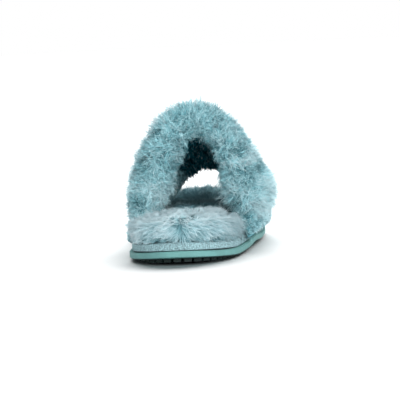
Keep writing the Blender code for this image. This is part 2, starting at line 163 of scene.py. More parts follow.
FUR_UV = "OFBake"  # across it runs a strand's tone, and up it runs from root to tip
UV_WIDTH = 0.004  # of one strand on that map
TONE_LIMITS = (0.01, 0.99)
HALVES = (0.5, 0.5, 0.5)  # taken off noise, so that it pulls all ways alike
STRAND_SEGMENTS = 3
STRAND_REACH = (0.7, 1.12)  # the shortest and the longest strand, as shares of the pile
STRAND_TIP = 0.15  # width of a strand's tip, as a share of its root's
# Strands in one piece of fur
FOOTBED_STRANDS = 26000
STRAP_STRANDS = 32000
LINING_STRANDS = 9000
# How the strands swirl, curl and draw together into locks, and how far their tones differ
FOOTBED_FUR = dict(
    Swirl=2.8, Swirl_Size=3.5 * MM, Curl=1.5, Curl_Size=2.6 * MM,
    Lock_Pull=0.28, Strand_Tone=0.2, Lock_Tone=0.05,
)
STRAP_FUR = dict(
    Swirl=4.5, Swirl_Size=3.5 * MM, Curl=2.9, Curl_Size=2.3 * MM,
    Lock_Pull=0.4, Strand_Tone=0.6, Lock_Tone=0.2,
)
# Numbers on the points of a surface, on a strand's root and on the strip that a strand is bent from
SURFACE_FIELDS = {
    **dict.fromkeys(("up", "flow"), "FLOAT_VECTOR"),
    **dict.fromkeys(("pile", "growth", "shade"), "FLOAT"),
}
STRAND_FIELDS = {
    **dict.fromkeys(("root", "way", "pull"), "FLOAT_VECTOR"),
    **dict.fromkeys(("reach", "tone"), "FLOAT"),
}
STRIP_FIELDS = dict.fromkeys(("along", "side"), "FLOAT")
STILL_EDGES = "crease_edge"  # the name under which subdivision looks for edges to keep

# Suns: which way each shines, strength, spread in degrees, and whether the floor is all it lights or left out
LIGHTS = (
    ("floor_light", (-0.1, -1.5, -1.0), 6.8, 60, "INCLUDE"),
    ("key", (-0.25, 1.0, -0.7), 1.2, 70, "EXCLUDE"),
    ("fill_left", (0.5, 1.0, -0.3), 2.0, 90, "EXCLUDE"),
    ("fill_right", (-0.45, 1.0, -0.3), 3.2, 90, "EXCLUDE"),
    ("right_side", (-1.0, 0.2, -0.35), 2.2, 80, "EXCLUDE"),
    ("front_side", (0.2, -1.0, -0.8), 1.0, 60, "EXCLUDE"),
)
FLOOR_HALF = 8.0
LOOK_AT = (-2.2 * MM, -14.7 * MM, 40 * MM)
PICTURE_SCALE = 1445  # pixels to a metre at the slipper
PICTURE_WIDTH = 400  # in pixels
SENSOR_WIDTH = 36.0  # in millimetres, as Blender counts it
CAMERA_SHIFT = (0.022, -0.025)


def linear(hex_colour):
    """Linear red, green and blue of an sRGB hex colour."""
    parts = [int(hex_colour[i : i + 2], 16) / 255 for i in (1, 3, 5)]
    return tuple(c / 12.92 if c <= 0.04045 else ((c + 0.055) / 1.055) ** 2.4 for c in parts)


class FurSettings(bpy.types.PropertyGroup):
    """Sizes and colours of the faux fur."""

    strand_width: bpy.props.FloatProperty(
        name="Strand width", description="Width of a tuft of fibres at its root",
        default=0.46 * MM, unit="LENGTH",
    )
    lock_spacing: bpy.props.FloatProperty(
        name="Lock spacing", description="Distance between neighbouring locks",
        default=1.7 * MM, unit="LENGTH",
    )
    strap_pile: bpy.props.FloatProperty(
        name="Strap pile", description="Length of the fibres on the straps",
        default=8.8 * MM, unit="LENGTH",
    )
    footbed_pile: bpy.props.FloatProperty(
        name="Footbed pile", description="Length of the fibres on the footbed",
        default=9.5 * MM, unit="LENGTH",
    )
    lining_pile: bpy.props.FloatProperty(
        name="Lining pile", description="Length of the fibres inside the straps",
        default=5.0 * MM, unit="LENGTH",
    )
    strap_colour: bpy.props.FloatVectorProperty(
        name="Strap fur", description="Middle colour of the fur on the straps",
        default=linear("#95c6ce"), subtype="COLOR", size=3,
    )
    footbed_colour: bpy.props.FloatVectorProperty(
        name="Footbed fur", description="Middle colour of the fur on the footbed",
        default=linear("#b8d0d6"), subtype="COLOR", size=3,
    )
    # The colour inside the straps is dark: painted shade, as little light reaches in there
    lining_shade_colour: bpy.props.FloatVectorProperty(
        name="Lining fur", description="Middle colour of the fur inside the straps",
        default=linear("#09515c"), subtype="COLOR", size=3,
    )


class SoleSettings(bpy.types.PropertyGroup):
    """Sizes and colours of the wrap cloth and the foam."""

    thread_pitch: bpy.props.FloatProperty(
        name="Thread pitch", description="Distance between the threads of the wrap cloth",
        default=1.1 * MM, unit="LENGTH",
    )
    wrap_colour: bpy.props.FloatVectorProperty(
        name="Wrap cloth", description="Colour of the cloth round the midsole",
        default=linear("#87a5ab"), subtype="COLOR", size=3,
    )
    foam_colour: bpy.props.FloatVectorProperty(
        name="Foam", description="Colour of the moulded outsole",
        default=linear("#5b8987"), subtype="COLOR", size=3,
    )


class StageSettings(bpy.types.PropertyGroup):
    """The camera."""

    azimuth: bpy.props.FloatProperty(
        name="Azimuth", description="Angle of the camera to the right of the heel",
        default=math.radians(5.5), subtype="ANGLE",
    )
    elevation: bpy.props.FloatProperty(
        name="Elevation", description="Angle of the camera above the floor",
        default=math.radians(4.5), subtype="ANGLE",
    )
    roll: bpy.props.FloatProperty(
        name="Roll", description="Turn of the camera about its own line of sight",
        default=math.radians(2.85), subtype="ANGLE",
    )
    distance: bpy.props.FloatProperty(
        name="Distance", description="From the camera to the middle of the slipper",
        default=1.6, unit="LENGTH",
    )


def put(tree, kind, links=None, stops=(), **settings):
    """Adds a node, sets it up, and links or fills its inputs. A node given as a value is its first output.

    A colour ramp takes its stops in order.
    """
    node = tree.nodes.new(kind)
    for name, value in settings.items():
        setattr(node, name, value)
    for i, (position, colour) in enumerate(stops):
        elements = node.color_ramp.elements
        stop = elements[i] if i < len(elements) else elements.new(position)
        stop.position = position
        stop.color = colour
    for key, value in (links or {}).items():
        if isinstance(value, bpy.types.Node):
            value = next(socket for socket in value.outputs if socket.enabled)
        if isinstance(key, str):
            key = next(i for i, socket in enumerate(node.inputs) if socket.name == key and socket.enabled)
        if isinstance(value, bpy.types.NodeSocket):
            tree.links.new(value, node.inputs[key])
        else:
            node.inputs[key].default_value = value
    return node


def principled(name, **values):
    """A new Principled material with plain values on the shader's own sockets."""
    material = bpy.data.materials.new(name)
    material.use_nodes = True
    shader = material.node_tree.nodes["Principled BSDF"]
    for socket, value in values.items():
        shader.inputs[socket.replace("_", " ")].default_value = value
    return material, material.node_tree, shader


def tinted(colour, *factors):
    """A colour times one factor, or times one each for its red, green and blue, with full alpha."""
    if len(factors) == 1:
        factors *= 3
    return tuple(c * factor for c, factor in zip(colour, factors)) + (1.0,)


def fur_material(name, colour, depth, sheen):
    """Acrylic faux fur, knitted pile: soft, hardly any gloss, with painted shade between its locks and
    painted light at its pale tips.

    The tone of a strand runs across the UV map and its length runs up it. Its root is darker by depth, a
    painted shade.
    """
    material, tree, shader = principled(
        name, Roughness=0.8, Specular_IOR_Level=sheen / 2, Sheen_Roughness=0.5,
        Sheen_Tint=tuple((1 + c) / 2 for c in colour) + (1.0,),
    )
    place = put(tree, "ShaderNodeUVMap", uv_map=FUR_UV)
    parts = put(tree, "ShaderNodeSeparateXYZ", {"Vector": place})
    # Only the paler strands shine
    shine = put(tree, "ShaderNodeMapRange", {"Value": parts.outputs["X"], "From Max": 0.35, "To Max": sheen})
    stops = (
        (0.0, tinted(colour, 0.06, 0.14, 0.16)),
        (0.25, tinted(colour, 0.42, 0.6, 0.63)),
        (0.5, tinted(colour, 1.0)),
        (1.0, tuple(c + part * (1 - c) for c, part in zip(colour, (0.36, 0.3, 0.29))) + (1.0,)),
    )
    tone = put(tree, "ShaderNodeValToRGB", {"Fac": parts.outputs["X"]}, stops)
    # From root to tip: painted shade deep in the pile, painted light at the tips
    stops = (
        (0.0, (1 - 1.9 * depth, 1 - 1.1 * depth, 1 - depth, 1.0)),
        (0.6, (0.92, 0.97, 0.98, 1.0)),
        (1.0, (1.1, 1.0, 0.99, 1.0)),
    )
    length = put(tree, "ShaderNodeValToRGB", {"Fac": parts.outputs["Y"]}, stops)
    both = {"Factor": 1.0, "A": tone, "B": length}
    mix = put(tree, "ShaderNodeMix", both, data_type="RGBA", blend_type="MULTIPLY")
    tree.links.new(shine.outputs[0], shader.inputs["Sheen Weight"])
    tree.links.new(mix.outputs[2], shader.inputs["Base Color"])
    return material


def backing_material(name, colour):
    """Knitted backing with the roots of the pile on it: matt, and dark with painted shade from the pile over
    it.
    """
    material, tree, shader = principled(name, Roughness=0.95, Specular_IOR_Level=0.1)
    place = put(tree, "ShaderNodeTexCoord")
    where = {"Vector": place.outputs["Object"]}
    grain = put(tree, "ShaderNodeTexNoise", {**where, "Scale": 1 / (1.5 * MM), "Detail": 3.0})
    stops = (0.3, tinted(colour, 0.18, 0.28, 0.3)), (0.7, tinted(colour, 0.3, 0.44, 0.46))
    tone = put(tree, "ShaderNodeValToRGB", {"Fac": grain.outputs["Fac"]}, stops)
    bump = put(tree, "ShaderNodeBump", {"Height": grain.outputs["Fac"], "Distance": 0.4 * MM})
    tree.links.new(tone.outputs["Color"], shader.inputs["Base Color"])
    tree.links.new(bump.outputs["Normal"], shader.inputs["Normal"])
    return material


def painted_shade_below(tree, place, edge, dark, tone):
    """A tone that gives way to a dark painted shade below a height over the sole's underside."""
    parts = put(tree, "ShaderNodeSeparateXYZ", {"Vector": place.outputs["Object"]})
    height = parts.outputs["Z"]
    for spring in SPRINGS:
        rise = put(tree, "ShaderNodeMapRange", {"Value": parts.outputs["Y"], **spring})
        height = put(tree, "ShaderNodeMath", {0: height, 1: rise}, operation="SUBTRACT")
    share = put(tree, "ShaderNodeMapRange", {"Value": height, "From Min": edge[0], "From Max": edge[1]})
    return put(tree, "ShaderNodeMix", {"Factor": share, "A": dark, "B": tone}, data_type="RGBA")


# Inputs of the fur's node tree: its plain numbers, and all of them with their kinds
FUR_NUMBERS = (
    "Density", "Width", "Stand", "Droop", "Lean", "Sweep", "Swirl", "Swirl Size", "Curl", "Curl Size",
    "Lock Density", "Lock Pull", "Strand Tone", "Lock Tone",
)
FUR_INPUTS = {
    "Geometry": "NodeSocketGeometry",
    "Seed": "NodeSocketInt",
    "Segments": "NodeSocketInt",
    **dict.fromkeys(FUR_NUMBERS, "NodeSocketFloat"),
    "Material": "NodeSocketMaterial",
}


def fur_tree():
    """Geometry nodes that grow flat tapered strands from a surface.

    The surface carries up, flow, pile, growth and shade on its points. Strands follow flow with a swirl,
    lean over as they rise, curl in company with their neighbours and draw together into locks.
    """
    tree = bpy.data.node_groups.new("fur_strands", "GeometryNodeTree")
    for name, kind in FUR_INPUTS.items():
        tree.interface.new_socket(name=name, in_out="INPUT", socket_type=kind)
    tree.interface.new_socket(name="Geometry", in_out="OUTPUT", socket_type="NodeSocketGeometry")
    given = put(tree, "NodeGroupInput").outputs
    position = put(tree, "GeometryNodeInputPosition")
    up, flow, pile, growth, shade = (
        put(tree, "GeometryNodeInputNamedAttribute", {"Name": name}, data_type=kind)
        for name, kind in SURFACE_FIELDS.items()
    )

    # Roots of the strands, and the middles of the locks that they belong to
    density = put(tree, "ShaderNodeMath", {0: growth, 1: given["Density"]}, operation="MULTIPLY")
    roots, middles = (
        put(
            tree,
            "GeometryNodeDistributePointsOnFaces",
            {"Mesh": given["Geometry"], "Density": dense, "Seed": seed},
            distribute_method="RANDOM",
        )
        for dense, seed in ((density, given["Seed"]), (given["Lock Density"], 1))
    )
    lock = put(tree, "GeometryNodeSampleNearest", {"Geometry": middles, "Sample Position": position})
    nearest = {"Geometry": middles, "Value": position, "Index": lock}
    lock_place = put(tree, "GeometryNodeSampleIndex", nearest, data_type="FLOAT_VECTOR")
    pull = put(tree, "ShaderNodeVectorMath", {0: lock_place, 1: position}, operation="SUBTRACT")

    # The way each strand lies: flow turned by a slow swirl and kept along the surface
    swirl_scale = put(tree, "ShaderNodeMath", {0: 1.0, 1: given["Swirl Size"]}, operation="DIVIDE")
    swirl = put(tree, "ShaderNodeTexNoise", {"Vector": position, "Scale": swirl_scale, "Detail": 2.5})
    swirl = put(tree, "ShaderNodeVectorMath", {0: swirl.outputs["Color"], 1: HALVES}, operation="SUBTRACT")
    swirl = put(tree, "ShaderNodeVectorMath", {0: swirl, "Scale": given["Swirl"]}, operation="SCALE")
    way = put(tree, "ShaderNodeVectorMath", {0: flow, 1: swirl}, operation="ADD")
    rise = put(tree, "ShaderNodeVectorMath", {0: way, 1: up}, operation="DOT_PRODUCT")
    rise = put(tree, "ShaderNodeVectorMath", {0: up, "Scale": rise.outputs["Value"]}, operation="SCALE")
    way = put(tree, "ShaderNodeVectorMath", {0: way, 1: rise}, operation="SUBTRACT")
    way = put(tree, "ShaderNodeVectorMath", {0: way}, operation="NORMALIZE")

    # Length and tone of each strand
    shortest, longest = STRAND_REACH
    drawn = {2: shortest, 3: longest, "Seed": given["Seed"]}
    reach = put(tree, "FunctionNodeRandomValue", drawn, data_type="FLOAT")
    reach = put(tree, "ShaderNodeMath", {0: reach, 1: pile}, operation="MULTIPLY")
    tone = shade
    for weight, drawn in (("Strand Tone", {"Seed": 5}), ("Lock Tone", {"ID": lock, "Seed": 9})):
        part = put(tree, "FunctionNodeRandomValue", {2: -0.5, 3: 0.5, **drawn}, data_type="FLOAT")
        tone = put(tree, "ShaderNodeMath", {0: part, 1: given[weight], 2: tone}, operation="MULTIPLY_ADD")

    # One flat strip for every root
    rows = put(tree, "ShaderNodeMath", {0: given["Segments"], 1: 1.0}, operation="ADD")
    size = {"Size X": 1.0, "Size Y": 1.0, "Vertices X": 2, "Vertices Y": rows}
    strip = put(tree, "GeometryNodeMeshGrid", size)
    parts = put(tree, "ShaderNodeSeparateXYZ", {"Vector": position})
    from_root = put(tree, "ShaderNodeMath", {0: parts.outputs["Y"], 1: 0.5}, operation="ADD")
    stored = []
    for carrier, fields, values in (
        (roots, STRAND_FIELDS, (position, way, pull, reach, tone)),
        (strip, STRIP_FIELDS, (from_root, parts.outputs["X"])),
    ):
        for (name, kind), value in zip(fields.items(), values):
            field = {"Geometry": carrier, "Name": name, "Value": value}
            carrier = put(tree, "GeometryNodeStoreNamedAttribute", field, data_type=kind, domain="POINT")
        stored.append(carrier)
    strands = put(tree, "GeometryNodeInstanceOnPoints", {"Points": stored[0], "Instance": stored[1]})
    strands = put(tree, "GeometryNodeRealizeInstances", {"Geometry": strands})

    # Bend every strip into its strand
    root, way, pull, reach, tone, along, side = (
        put(tree, "GeometryNodeInputNamedAttribute", {"Name": name}, data_type=kind)
        for name, kind in (STRAND_FIELDS | STRIP_FIELDS).items()
    )
    length = put(tree, "ShaderNodeMath", {0: along, 1: reach}, operation="MULTIPLY")
    bend = put(tree, "ShaderNodeMath", {0: along, 1: given["Droop"]}, operation="MULTIPLY")
    height = put(tree, "ShaderNodeMath", {0: given["Stand"], 1: bend}, operation="SUBTRACT")
    height = put(tree, "ShaderNodeMath", {0: height, 1: length}, operation="MULTIPLY")
    height = put(tree, "ShaderNodeVectorMath", {0: up, "Scale": height}, operation="SCALE")
    swept = {0: along, 1: given["Sweep"], 2: given["Lean"]}
    lean = put(tree, "ShaderNodeMath", swept, operation="MULTIPLY_ADD")
    lean = put(tree, "ShaderNodeMath", {0: lean, 1: length}, operation="MULTIPLY")
    lean = put(tree, "ShaderNodeVectorMath", {0: way, "Scale": lean}, operation="SCALE")
    place = put(tree, "ShaderNodeVectorMath", {0: root, 1: height}, operation="ADD")
    place = put(tree, "ShaderNodeVectorMath", {0: place, 1: lean}, operation="ADD")
    curl_scale = put(tree, "ShaderNodeMath", {0: 1.0, 1: given["Curl Size"]}, operation="DIVIDE")
    curl = put(tree, "ShaderNodeTexNoise", {"Vector": place, "Scale": curl_scale, "Detail": 1.0})
    curl = put(tree, "ShaderNodeVectorMath", {0: curl.outputs["Color"], 1: HALVES}, operation="SUBTRACT")
    curl_depth = put(tree, "ShaderNodeMath", {0: length, 1: given["Curl"]}, operation="MULTIPLY")
    curl = put(tree, "ShaderNodeVectorMath", {0: curl, "Scale": curl_depth}, operation="SCALE")
    drawn = put(tree, "ShaderNodeMath", {0: along, 1: given["Lock Pull"]}, operation="MULTIPLY")
    drawn = put(tree, "ShaderNodeVectorMath", {0: pull, "Scale": drawn}, operation="SCALE")
    taper = put(tree, "ShaderNodeMath", {0: along, 1: 2.0}, operation="POWER")
    taper = put(tree, "ShaderNodeMath", {0: taper, 1: STRAND_TIP - 1, 2: 1.0}, operation="MULTIPLY_ADD")
    width = put(tree, "ShaderNodeMath", {0: taper, 1: given["Width"]}, operation="MULTIPLY")
    width = put(tree, "ShaderNodeMath", {0: width, 1: side}, operation="MULTIPLY")
    across = put(tree, "ShaderNodeVectorMath", {0: up, 1: way}, operation="CROSS_PRODUCT")
    across = put(tree, "ShaderNodeVectorMath", {0: across, "Scale": width}, operation="SCALE")
    for shift in (curl, drawn, across):
        place = put(tree, "ShaderNodeVectorMath", {0: place, 1: shift}, operation="ADD")
    strands = put(tree, "GeometryNodeSetPosition", {"Geometry": strands, "Position": place})

    # Tone across the map, a hair's breadth wide for each strand, and root to tip up it
    darkest, palest = TONE_LIMITS
    tone = put(tree, "ShaderNodeClamp", {"Value": tone, "Min": darkest, "Max": palest})
    tone = put(tree, "ShaderNodeMath", {0: side, 1: UV_WIDTH, 2: tone}, operation="MULTIPLY_ADD")
    map_place = put(tree, "ShaderNodeCombineXYZ", {"X": tone, "Y": along})
    uv = {"Geometry": strands, "Name": FUR_UV, "Value": map_place}
    strands = put(tree, "GeometryNodeStoreNamedAttribute", uv, data_type="FLOAT2", domain="CORNER")
    strands = put(tree, "GeometryNodeSetMaterial", {"Geometry": strands, "Material": given["Material"]})
    put(tree, "NodeGroupOutput", {"Geometry": strands})
    return tree


def drop_fields(mesh):
    """Takes off what a mesh carried while it was softened and its fur grew."""
    for name in (STILL_EDGES, *SURFACE_FIELDS, *STRAND_FIELDS, *STRIP_FIELDS):
        if name in mesh.attributes:
            mesh.attributes.remove(mesh.attributes[name])


def softened(node, rounds, levels=1):
    """The surface that fur or cloth is sewn to: a CAD node, softened but for the edge of its underside."""
    bm = bmesh.new()
    bm.from_mesh(frame["nodes"][node].data)
    bmesh.ops.remove_doubles(bm, verts=bm.verts, dist=1e-5)
    bmesh.ops.join_triangles(bm, faces=bm.faces, angle_face_threshold=0.6, angle_shape_threshold=1.2)
    under = [face for face in bm.faces if face.normal.z < -0.9 and face.calc_center_median().z < UNDERSIDE]
    still = {vert for face in under for vert in face.verts}
    sharp = bm.edges.layers.float.new(STILL_EDGES)
    for edge in bm.edges:
        edge[sharp] = float(all(vert in still for vert in edge.verts))
    moving = [vert for vert in bm.verts if vert not in still]
    for _ in range(rounds):
        bmesh.ops.smooth_vert(bm, verts=moving, factor=0.5, use_axis_x=True, use_axis_y=True, use_axis_z=True)
    mesh = bpy.data.meshes.new(node + "_softened")
    bm.to_mesh(mesh)
    bm.free()
    obj = bpy.data.objects.new(node + "_softened", mesh)
    bpy.context.scene.collection.objects.link(obj)
    subdivide = obj.modifiers.new("subdivide", "SUBSURF")
    subdivide.levels = subdivide.render_levels = levels
    graph = bpy.context.evaluated_depsgraph_get()
    fine = bpy.data.meshes.new_from_object(obj.evaluated_get(graph))
    bpy.data.objects.remove(obj, do_unlink=True)
    drop_fields(fine)
    fine.shade_smooth()
    return fine


def points_of(mesh):
    """Points and unit normals of a mesh as arrays."""
    places = np.empty(len(mesh.vertices) * 3, np.float32)
    normals = np.empty(len(mesh.vertices) * 3, np.float32)
    mesh.vertices.foreach_get("co", places)
    mesh.vertex_normals.foreach_get("vector", normals)
    return places.reshape(-1, 3).astype(float), normals.reshape(-1, 3).astype(float)


def move_points(mesh, places):
    """Moves the points of a mesh to new places."""
    mesh.vertices.foreach_set("co", places.astype(np.float32).ravel())
    mesh.update()


def sink(mesh, depth, share):
    """Moves each point in by its depth, or by a share of the wall's thickness where the wall is thin."""
    places, normals = points_of(mesh)
    tree = BVHTree.FromPolygons(places.tolist(), [tuple(p.vertices) for p in mesh.polygons])
    walls = np.empty(len(places))
    for i, (place, normal) in enumerate(zip(places, normals)):
        inward = -Vector(normal)
        hit = tree.ray_cast(Vector(place) + inward * 1e-4, inward)
        walls[i] = hit[3] if hit[3] is not None else 0.0
    move_points(mesh, places - normals * np.minimum(depth, walls * share)[:, None])


def cover(mesh, *materials):
    """Gives a mesh these materials and no others."""
    mesh.materials.clear()
    for material in materials:
        mesh.materials.append(material)


def set_on_points(mesh, **values):
    """Stores arrays of numbers or vectors on the points of a mesh."""
    for name, value in values.items():
        value = np.asarray(value, np.float32)
        old = mesh.attributes.get(name)
        if old:
            mesh.attributes.remove(old)
        kind, part = ("FLOAT_VECTOR", "vector") if value.ndim == 2 else ("FLOAT", "value")
        mesh.attributes.new(name, kind, "POINT").data.foreach_set(part, value.ravel())


def placed(name, mesh):
    """A finished piece that rides with the slipper."""
    obj = bpy.data.objects.new(name, mesh)
    bpy.context.scene.collection.objects.link(obj)
    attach(obj, "root")
    return obj


def grow_fur(name, surface, strands, material, slot_name, **inputs):
    """Grows one piece of fur with about the given number of strands, as a plain mesh."""
    tree = bpy.data.node_groups.get("fur_strands") or fur_tree()
    growth = np.empty(len(surface.vertices), np.float32)
    surface.attributes["growth"].data.foreach_get("value", growth)
    grown_area = sum(face.area * growth[list(face.vertices)].mean() for face in surface.polygons)
    settings = bpy.context.scene.slipper_fur
    inputs = {
        "Density": strands / grown_area,
        "Segments": STRAND_SEGMENTS,
        "Width": settings.strand_width,
        "Lock Density": 1 / settings.lock_spacing**2,
        "Material": material,
        **{key.replace("_", " "): value for key, value in inputs.items()},
    }
    sown = bpy.data.objects.new(name + "_sown", surface.copy())
    bpy.context.scene.collection.objects.link(sown)
    modifier = sown.modifiers.new("fur", "NODES")
    modifier.node_group = tree
    for item in tree.interface.items_tree:
        if item.in_out == "INPUT" and item.name in inputs:
            modifier[item.identifier] = inputs[item.name]
    graph = bpy.context.evaluated_depsgraph_get()
    mesh = bpy.data.meshes.new_from_object(sown.evaluated_get(graph))
    bpy.data.objects.remove(sown, do_unlink=True)
    if not mesh.polygons:
        raise RuntimeError(f"{name} grew no fur")
    drop_fields(mesh)
    mesh.shade_smooth()
    mesh.name = name
    return placed(name, mesh)


def ease(value, start, end):
    """0 up to the start, 1 from the end on and smooth between; the end may lie below the start."""
    t = np.clip((value - start) / (end - start), 0.0, 1.0)
    return t * t * (3 - 2 * t)


def hump(value, middle, reach):
    """1 in the middle, and softly less on both sides of it."""
    return np.exp(-(((value - middle) / reach) ** 2))


def unit(vectors):
    """Vectors brought to a length of 1."""
    return vectors / np.maximum(np.linalg.norm(vectors, axis=1, keepdims=True), 1e-9)


def along_surface(vectors, normals):
    """Unit vectors laid along the surface."""
    return unit(vectors - normals * (vectors * normals).sum(1, keepdims=True))


def patches(places, size):
    """Slow uneven waves over the surface, from -1 to 1, of about the given size."""
    return np.array([noise.noise(Vector(place) / size) for place in places])


def looked_up(rows, key, at, name):
    """One column of a table, read between its rows."""
    return np.interp(at, [row[key] for row in rows], [row[name] for row in rows])


def furrows(across, height, rows, half_width):
    """Depth of the furrows of a table, each a soft trough, at places given by their side shift and height."""
    depth = np.zeros_like(across)
    for row in rows:
        turn = math.radians(row["turn"])
        along = (across - row["x"]) * math.cos(turn) + (height - row["z"]) * math.sin(turn)
        beside = (height - row["z"]) * math.cos(turn) - (across - row["x"]) * math.sin(turn)
        depth += row["depth"] * np.exp(-((beside / half_width) ** 2) - (along / row["half"]) ** 4)
    return np.clip(depth, -1, 1)


def hollows(mesh, rounds):
    """How far each point lies below the surface's own softened form; points on a ridge are below nothing."""
    places, normals = points_of(mesh)
    ends = np.array([tuple(edge.vertices) for edge in mesh.edges])
    count = np.bincount(ends.ravel(), minlength=len(places))[:, None]
    soft = places.copy()
    for _ in range(rounds):
        total = np.zeros_like(soft)
        np.add.at(total, ends[:, 0], soft[ends[:, 1]])
        np.add.at(total, ends[:, 1], soft[ends[:, 0]])
        soft = (soft + total / count) / 2
    return np.maximum(0.0, ((soft - places) * normals).sum(1))


def rim_distances(from_middle, y):
    """Distances along the foot from the straps' back and front edges, at each point's angle on the arch."""
    angle = np.arctan2(from_middle[:, 2], from_middle[:, 0])
    sector = np.digitize(angle, np.linspace(-math.pi, math.pi, ARCH_SECTORS + 1))
    back = np.full(ARCH_SECTORS + 2, np.inf)
    front = -back
    np.minimum.at(back, sector, y)
    np.maximum.at(front, sector, y)
    return y - back[sector], front[sector] - y


class SLIPPER_OT_outsole(bpy.types.Operator):
    """Gives the outsole its moulded foam"""

    bl_idname = "slipper.outsole"
    bl_label = "Foam Outsole"

    def execute(self, context):
        colour = tuple(context.scene.slipper_sole.foam_colour)
        # Closed-cell foam, moulded: an even satin skin with a faint mottle and fine pores, and painted shade
        # darkening the tread under the sole
        material, tree, shader = principled("moulded_eva_foam", Roughness=0.6, Specular_IOR_Level=0.3)
        place = put(tree, "ShaderNodeTexCoord")
        where = {"Vector": place.outputs["Object"]}
        mottle = put(tree, "ShaderNodeTexNoise", {**where, "Scale": 1 / (9 * MM), "Detail": 4.0})
        pores = put(tree, "ShaderNodeTexNoise", {**where, "Scale": 1 / (0.8 * MM), "Detail": 2.0})
        stops = (0.3, tinted(colour, 0.86)), (0.7, tinted(colour, 1.06))
        tone = put(tree, "ShaderNodeValToRGB", {"Fac": mottle.outputs["Fac"]}, stops)
        skin = painted_shade_below(tree, place, TREAD_SHADE_EDGE, tinted(colour, 0.1), tone)
        grain = {"Height": pores.outputs["Fac"], "Distance": 0.15 * MM, "Strength": 0.6}
        bump = put(tree, "ShaderNodeBump", grain)
        tree.links.new(skin.outputs[2], shader.inputs["Base Color"])
        tree.links.new(bump.outputs["Normal"], shader.inputs["Normal"])
        cover(frame["nodes"]["outsole"].data, material)
        return {"FINISHED"}


class SLIPPER_OT_midsole(bpy.types.Operator):
    """Wraps the midsole in woven cloth"""

    bl_idname = "slipper.midsole"
    bl_label = "Wrapped Midsole"

    def execute(self, context):
        settings = context.scene.slipper_sole
        colour = tuple(settings.wrap_colour)
        # Brushed polyester weave: matt, with pale flecks where its threads rise, and painted shade along its
        # foot in the groove where it is tucked in behind the outsole's rim
        material, tree, shader = principled("brushed_polyester_weave", Roughness=0.9, Specular_IOR_Level=0.15)
        place = put(tree, "ShaderNodeTexCoord")
        where = {"Vector": place.outputs["Object"], "Scale": 1 / settings.thread_pitch}
        threads = put(tree, "ShaderNodeTexVoronoi", {**where, "Randomness": 0.6})
        stops = (0.1, tinted(colour, 1.3)), (0.75, tinted(colour, 0.5))
        tone = put(tree, "ShaderNodeValToRGB", {"Fac": threads.outputs["Distance"]}, stops)
        cloth = painted_shade_below(tree, place, GROOVE_SHADE_EDGE, tinted(colour, 0.12), tone)
        grain = {"Height": threads.outputs["Distance"], "Distance": 0.4 * MM}
        bump = put(tree, "ShaderNodeBump", grain, invert=True)
        tree.links.new(cloth.outputs[2], shader.inputs["Base Color"])
        tree.links.new(bump.outputs["Normal"], shader.inputs["Normal"])

        surface = softened("midsole", rounds=0, levels=2)
        places, normals = points_of(surface)
        x, y, _ = places.T / MM
        upright = np.clip(1 - np.abs(normals[:, 2]) * 1.3, 0, 1)
        # Soft puckers where the cloth is drawn round the platform, of uneven width
        waves = np.sin((x + y) / 1.7 + 1.9 * np.sin(x / 5.3) + 1.6 * np.sin(y / 6.1))
        pucker = waves * np.sin(y / 9.0 - x / 13.0)
        move_points(surface, places - normals * (PUCKER_DEPTH * (1 + pucker) * upright)[:, None])
        cover(surface, material)
        wrap = placed("midsole_wrap", surface)
        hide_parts("midsole")
        return {"FINISHED"}


